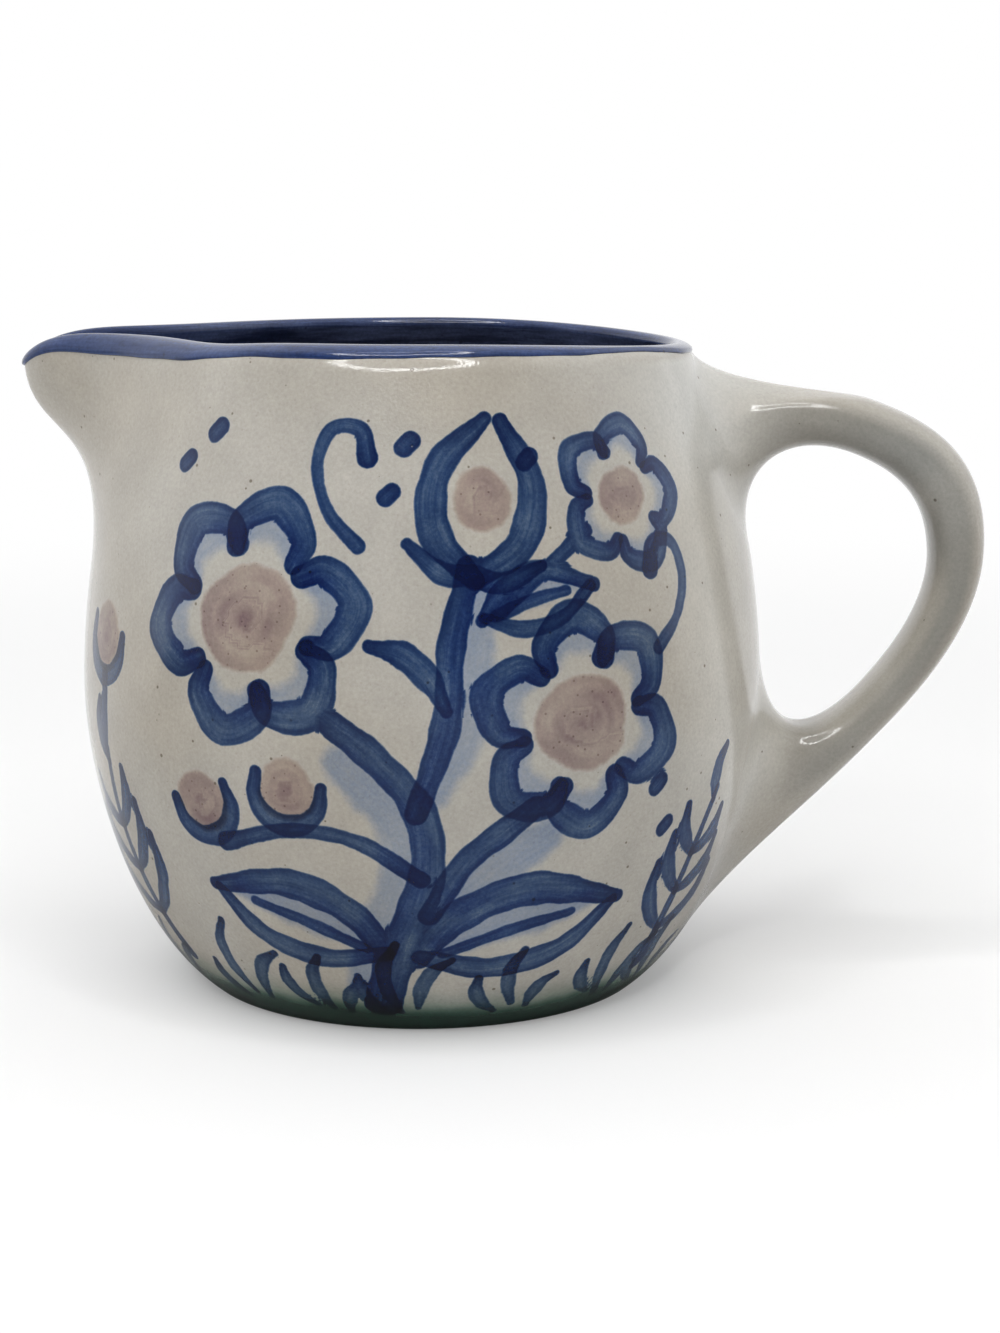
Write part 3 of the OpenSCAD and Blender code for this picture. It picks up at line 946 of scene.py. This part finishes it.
def blue_glaze():
    material, tree, surface = new_material("blue_glaze")
    way = attribute(tree, "turned_way", "Vector")
    streak = noise(tree, way, 1.0, 4, 0.65)
    fine = noise(tree, scaled(tree, way, 3.1), 1.0, 3, 0.6)
    grain = use(tree, clay_grain, {})
    rim = blend(tree, ramp(tree, streak, 0.32, 0.68), *rim_blues)
    deep = blend(tree, ramp(tree, streak, 0.30, 0.70), *deep_blues)
    level = times(tree, swing(tree, fine, 0.3, 0.7, 0.82, 1.16),
                  swing(tree, grain["Grain"], 0.25, 0.75, 0.75, 1.25))
    level = times(tree, level, swing(tree, grain["Mottle"], 0.3, 0.7, 0.86, 1.14))
    colour = scaled(tree, blend(tree, attribute(tree, "depth_inside"), rim, deep), level)
    colour = blend(tree, times(tree, grain["Speck"], 0.5), colour, blue_speck)
    skin = use(tree, glaze_skin, {"Speck": grain["Speck"]})
    glazed(tree, surface, colour, skin["Roughness"], skin["Normal"])
    return material


# ---- the thrown body

def milky_and_painted_light_cover(points):
    """How much painted light, partly a paler and cooler glaze, lifts the shade on the wall beside
    the handle and round its two roots: each patch is a table by the angle from the handle times a
    table by the height."""
    off = np.abs(np.degrees(np.arctan2(points[:, 1], points[:, 0])))
    patches = [np.interp(off, *by_angle) * np.interp(points[:, 2], *by_height)
               for by_angle, by_height in (
                   (([0, 16, 24, 32, 40, 46, 54], [0.54, 0.54, 0.68, 0.92, 0.55, 0.2, 0]),
                    ([20, 38, 80, 88], [0, 1, 1, 0.6])),
                   (([14, 30, 42], [1, 0.9, 0]), ([66, 75], [0, 1])),
                   (([26, 38], [1, 0]), ([21, 29, 38, 47], [0, 1, 1, 0])))]
    return np.max(patches, axis=0)


bm = turned_tube(body_stations, 480)
angle, station = tube_places(bm)
points = ring_points(angle, body_at(angle, station))
body = finished(bm, points, "thrown_body", "jug_body",
                clear_glaze("painted_clear_glaze", True))
outside = (station >= 0) & (station <= 4)
canvas = Canvas(points, outside)
decoration()
for coat in coats:
    keep(body, coat, canvas.place[coat])
    keep(body, coat + "_heart", canvas.heart[coat] * MM)
    keep(body, coat + "_paint", canvas.paint[coat])
keep(body, "bare_clay", np.interp(station, [-1.2, -0.9, 0.0, 0.6], [0, 1, 1, 0]))
keep(body, "thick_glaze_and_painted_shade", np.zeros(len(station)))
# Painted light, partly a paler glaze, lifting the shade on the wall beside the handle
keep(body, "milky_glaze_and_painted_light", outside * milky_and_painted_light_cover(points))

# ---- the lining

# Stations: clay side from the middle of the floor, -9 to -4, lip -4 to -3, band -3 to -2,
# then back over the glaze: band 2 to 3, lip 3 to 4, inside wall and floor 4 to 8.
lining_stations = ([-8] + steps(-7.9, -6, 8) + steps(-6, -4, 12) + steps(-4, -3, 8)
                   + steps(-3, -2, 5) + steps(2, 3, 9) + steps(3, 4, 34) + steps(4, 5, 30)
                   + steps(5, 6, 14) + steps(6, 7, 34) + steps(7, 8, 10) + [8])

# Lean of the lip's face at the lower edge of the blue band, by the angle round the jug
band_angles = [0, 25, 70, 120, 165, 198, 212, 219, 229, 246, 262, 278, 300, 311, 322, 333, 345]
band_leans = [34, 40, 44, 40, 28, 20, 23, 31, 44, 36, 37, 45, 48, 56, 66, 58, 38]
band_swell, spout_band_lean = 11.0, -8.0
# The coat's clay side and its thin edge lie just under the face of the clay
clay_side, edge_side = -0.06, -0.03


def band_edge(angle):
    """Lean of the lip's face at the edge of the brushed band, which no hand keeps even."""
    t, k = np.radians(angle), beak(angle)
    hand = sum(np.interp(angle + off, band_angles, band_leans, period=360)
               for off in (-6, -3, 0, 3, 6)) / 5
    waves = 0.05 * np.sin(13 * t + 4.0) + 0.04 * np.sin(29 * t + 1.0)
    return mix(hand, spout_band_lean, k ** 0.7) + np.degrees(waves / roll_at(angle))


def lining_at(angle, station):
    out = np.zeros(station.shape + (2,))
    clay = station < 0
    t = np.abs(station)
    coat = np.where(clay, clay_side, glaze_t)
    band = (t >= 2) & (t < 3)
    share = t[band] - 2
    skin = np.where(clay[band], clay_side,
                    edge_side + (glaze_t - edge_side) * np.sqrt(np.clip(share, 0, 1)))
    out[band] = rim_at(angle[band], band_edge(angle[band]) + band_swell * share, skin)
    lip = (t >= 3) & (t < 4)
    lean = mix(band_edge(angle[lip]) + band_swell, lip_end(angle[lip]), t[lip] - 3)
    out[lip] = rim_at(angle[lip], lean, coat[lip])
    for side, c in ((clay, clay_side), (~clay, glaze_t)):
        here = side & (t >= 4)
        out[here] = inside_at(angle[here], t[here] - 4, c)
    return out


bm = turned_tube(lining_stations, 420)
angle, station = tube_places(bm)
lining = finished(bm, ring_points(angle, lining_at(angle, station)), "blue_lining",
                  "lining_glaze", blue_glaze())
station = np.abs(station)
across = np.interp(station, [2, 3, 4, 5, 6, 7, 8], [0, 1.3, 7, 30, 46, 84, 105])
keep(lining, "turned_way", turned(angle, 2.2, 0.9 * across))
deep = np.interp(station, [3.5, 4.1], [0, 1])
channel = np.exp(-((angle - 180) / 42) ** 2) * np.interp(station, [4.6, 5.4], [1, 0])
keep(lining, "depth_inside", deep * (1 - 0.6 * channel))

# ---- the pulled handle

def wall_point(height):
    return np.array([wall_r(np.array(0.0), np.array(height)), height])


top_end, low_end = wall_point(81.6), wall_point(20.85)
handle_out, bow_h, bow_t = 30.83, 59.25, 7.7
bow = np.array([belly_r + handle_out - bow_t / 2, bow_h])
upper_arm = [top_end, top_end + (bow[0] - top_end[0]) * 0.68 * heading(-9.7),
             bow + [0, (top_end[1] - bow[1]) * 0.677], bow]
lower_arm = [bow, bow - [0, (bow[1] - low_end[1]) * 0.401],
             low_end + (bow[0] - low_end[0]) * 0.398 * heading(37.4), low_end]
top_neck, low_neck = 0.187, 0.735
thick_at, thick_mm = [0.2, 0.35, 0.5, 0.6, 0.7], [7.7, 8.6, 7.5, 6.45, 6.15]


def smooth_table(share, at, values):
    """Values read from a short table, eased by averaging round each place."""
    return sum(np.interp(share + off, at, values) for off in np.linspace(-0.06, 0.06, 7)) / 7


def arm_at(share):
    out = np.zeros(share.shape + (2,))
    upper = share <= 0.5
    out[upper] = curve_at(upper_arm, 2 * share[upper])
    out[~upper] = curve_at(lower_arm, 2 * share[~upper] - 1)
    return out


def arm_heading(share):
    return unit(arm_at(share + 1e-4) - arm_at(share - 1e-4))


def blunt(v):
    """Fills out an oval a little towards its corners."""
    return np.sign(v) * np.abs(v) ** (2 / 2.4)


def handle_ring(turn, share):
    """A point of the strap's section at a share of its middle line."""
    at, ahead = arm_at(share), arm_heading(share)
    thick = smooth_table(share, thick_at, thick_mm) / 2
    wide = np.interp(share, [0.2, 0.7], [13, 12]) / 2
    up = thick * blunt(np.cos(turn))
    return stack(at[:, 0] - up * ahead[:, 1], wide * blunt(np.sin(turn)),
                 at[:, 1] + up * ahead[:, 0])


usual_r = 44.0


def oval_on_wall(turn, low, high, width, flip, shrink, depth):
    """The outline of a root on the wall. Its angles are taken at the wall's usual radius."""
    y = width / 2 * np.sin(turn) * shrink
    h = (low + high) / 2 + flip * (high - low) / 2 * np.cos(turn) * shrink
    r = wall_r(np.degrees(np.arcsin(y / usual_r)), h) - depth
    return stack(np.sqrt(r * r - y * y), y, h)


root_depth, root_lift = 0.006, 1.0


def root(turn, t, low, high, width, flip, share, wall_pulls, neck_pulls):
    """The handle's spread root: t is 0 on the wall and 1 at the neck. The pulls are those of
    the outer side, the finger side and the flanks."""
    neck_share = np.full(turn.shape, share)
    neck_ring = handle_ring(turn, neck_share)
    way = arm_heading(neck_share) * flip
    neck_way = stack(way[:, 0], 0 * turn, way[:, 1])
    start = oval_on_wall(turn, low, high, width, flip, 1.0, root_depth)
    inward = unit(oval_on_wall(turn, low, high, width, flip, 0.98, root_depth) - start)
    outward_way = unit(start * [1, 1, 0])
    up = math.radians(root_lift)
    start_way = math.cos(up) * inward + math.sin(up) * outward_way
    span = length(neck_ring - start)
    flank, under = np.sin(turn) ** 2, (1 - np.cos(turn)) / 2

    def pull(p):
        return (span * mix(mix(p[0], p[1], under), p[2], flank))[:, None]

    wall_pull, neck_pull = pull(wall_pulls), pull(neck_pulls)
    return curve_at([start, start + wall_pull * start_way,
                     neck_ring - neck_pull * neck_way, neck_ring], t)


# Stations: the wall's side of each root lies under the wall's face, where nothing shows
handle_stations = ([-0.6, -0.4, -0.2] + steps(0, 1, 36) + steps(1, 2, 92)
                   + list(np.linspace(2, 3, 44)) + [3.2, 3.4, 3.6])
bm = turned_tube(handle_stations, 112)
angle, station = tube_places(bm)
turn = np.radians(angle)
points = np.zeros((len(turn), 3))
top_root = dict(low=61.1, high=87.0, width=29.0, flip=1, share=top_neck,
                wall_pulls=(0.22, 0.61, 0.45), neck_pulls=(0.14, 0.48, 0.70))
low_root = dict(low=4.1, high=46.8, width=29.0, flip=-1, share=low_neck,
                wall_pulls=(0.41, 0.82, 0.42), neck_pulls=(0.47, 0.76, 0.62))
here = station <= 1
points[here] = root(turn[here], np.maximum(station[here], 0), **top_root)
here = (station > 1) & (station < 2)
points[here] = handle_ring(turn[here], mix(top_neck, low_neck, station[here] - 1))
here = station >= 2
points[here] = root(turn[here], np.maximum(3 - station[here], 0), **low_root)
for spread, past in ((top_root, -station), (low_root, station - 3)):
    here = past > 1e-4
    shrink = np.interp(past[here], [0, 0.2, 0.4, 0.6], [1.0, 1.015, 0.95, 0.0])
    depth = np.interp(past[here], [0, 0.2, 0.4, 0.6], [root_depth, 0.03, 0.8, 0.9])
    points[here] = oval_on_wall(turn[here], spread["low"], spread["high"], spread["width"],
                                spread["flip"], shrink, depth)
handle = finished(bm, points, "pulled_handle", "handle",
                  clear_glaze("plain_clear_glaze", False))
# Painted shade along the strap, partly a darker glaze where it gathers: how dark each station is
thick = np.interp(station, [0.3, 0.95, 1.1, 1.2, 1.33, 1.5, 1.65, 1.85, 2.0, 2.35, 2.55, 2.65],
                  [0.1, 0.68, 0.8, 0.77, 0.57, 0.7, 0.82, 0.74, 0.6, 0.5, 0.1, 0])
# The strap is darkened along its core and under its arms, partly by a thicker, darker glaze and
# partly by painted shade; painted light makes it lighter on the outer side and on the finger side
# of the lower arm
outer_side = np.cos(np.radians(angle))
painted_light_outer_side = np.clip((outer_side - 0.15) / 0.45, 0, 1)
painted_light_finger_side = (np.clip((-outer_side - 0.15) / 0.5, 0, 1)
              * np.interp(station, [1.55, 1.7, 2.2, 2.4], [0, 1, 1, 0]))
thin = 0.9 * painted_light_outer_side + 0.6 * painted_light_finger_side
keep(handle, "thick_glaze_and_painted_shade", thick * (1 - thin))
# Painted light, partly a paler glaze, at both roots of the handle
keep(handle, "milky_glaze_and_painted_light", milky_and_painted_light_cover(points) * np.interp(
    station, [0, 0.45, 0.8, 2.45, 2.6, 2.8], [1, 0.55, 0, 0, 0.55, 1]))

# ---- floor, backdrop and light

def rays(tree):
    """The kinds of ray, and whether one comes by way of a glossy or a clear face."""
    seen = wire(tree, "LightPath").outputs
    return seen, maths(tree, "MAXIMUM", seen["Is Glossy Ray"], seen["Is Transmission Ray"])


white = (1, 1, 1, 1)
scene.view_settings.view_transform = "Standard"

bm = bmesh.new()
bmesh.ops.create_circle(bm, cap_ends=True, segments=96, radius=3.0)
mesh = bpy.data.meshes.new("floor")
bm.to_mesh(mesh)
bm.free()
floor = add("floor", mesh)

# The floor glows towards its rim, so that it runs into the white behind it without an edge.
# A mirrored ray sees it dark in front of the jug and white behind.
material = bpy.data.materials.new("pale_floor")
tree = clean_tree(material)
glow = wire(tree, "Emission", {"Color": white, "Strength": 1.0})
place = object_place(tree)
away = vectors(tree, "LENGTH", {0: place}, "Value")
seen, mirrored = rays(tree)
behind = ramp(tree, split(tree, place)["Y"], -0.03, 0.10)
dimmed = times(tree, mirrored, minus(tree, 1.0, behind))
lit = wire(tree, "BsdfDiffuse",
           {"Color": blend(tree, dimmed, (0.86, 0.86, 0.86, 1), (0.25, 0.25, 0.25, 1))})
shown = maths(tree, "MAXIMUM", seen["Is Camera Ray"], times(tree, mirrored, behind))
share = times(tree, shown, ramp(tree, away, 0.08, 0.5, 0.25, 1.0))
mixed = wire(tree, "MixShader", {0: share, 1: lit.outputs[0], 2: glow.outputs[0]})
wire(tree, "OutputMaterial", {"Surface": mixed.outputs[0]})
floor.data.materials.append(material)

# The world is white to the camera, and a soft room, bright behind and above, to the jug
world = bpy.data.worlds.new("studio")
scene.world = world
tree = clean_tree(world)
shown = wire(tree, "Background", {"Color": white, "Strength": 1.0})
way = split(tree, wire(tree, "TexCoord").outputs["Generated"])
bright = ramp(tree, way["Y"], -0.75, 0.15, 0.11, 0.88)
above = ramp(tree, way["Z"], 0.35, 0.85, 0.0, 0.65)
around = wire(tree, "Background",
              {"Color": white, "Strength": maths(tree, "MAXIMUM", bright, above)})
seen, mirrored = rays(tree)
backdrop = times(tree, mirrored, ramp(tree, way["Y"], -0.1, 0.3))
mixed = wire(tree, "MixShader",
             {0: maths(tree, "MAXIMUM", seen["Is Camera Ray"], backdrop),
              1: around.outputs[0], 2: shown.outputs[0]})
wire(tree, "OutputWorld", {"Surface": mixed.outputs[0]})

# A ring lamp overhead, in front: the lit ring is drawn on a square lamp
light = bpy.data.lights.new("ring_lamp", "AREA")
light.shape = "SQUARE"
light.size = 0.60
light.energy = 4.6
light.use_nodes = True
tree = light.node_tree
across = wire(tree, "NewGeometry").outputs["Parametric"]
parts = split(tree, vectors(tree, "SUBTRACT", {0: across, 1: (0.5, 0.5, 0)}))
radius = maths(tree, "SQRT", maths(tree, "ADD", times(tree, parts["X"], parts["X"]),
                                   times(tree, parts["Y"], parts["Y"])))
ring = times(tree, ramp(tree, radius, 0.39, 0.41), ramp(tree, radius, 0.5, 0.48))
feed(tree, tree.nodes["Emission"], {"Strength": times_plus(tree, ring, 3.4, 0.1)})
lamp = add("ring_lamp", light)
lamp.location = (-0.058, -0.382, 0.648)
lamp.rotation_euler = (Vector((0, 0, 0.06)) - lamp.location).to_track_quat("-Z", "Y").to_euler()
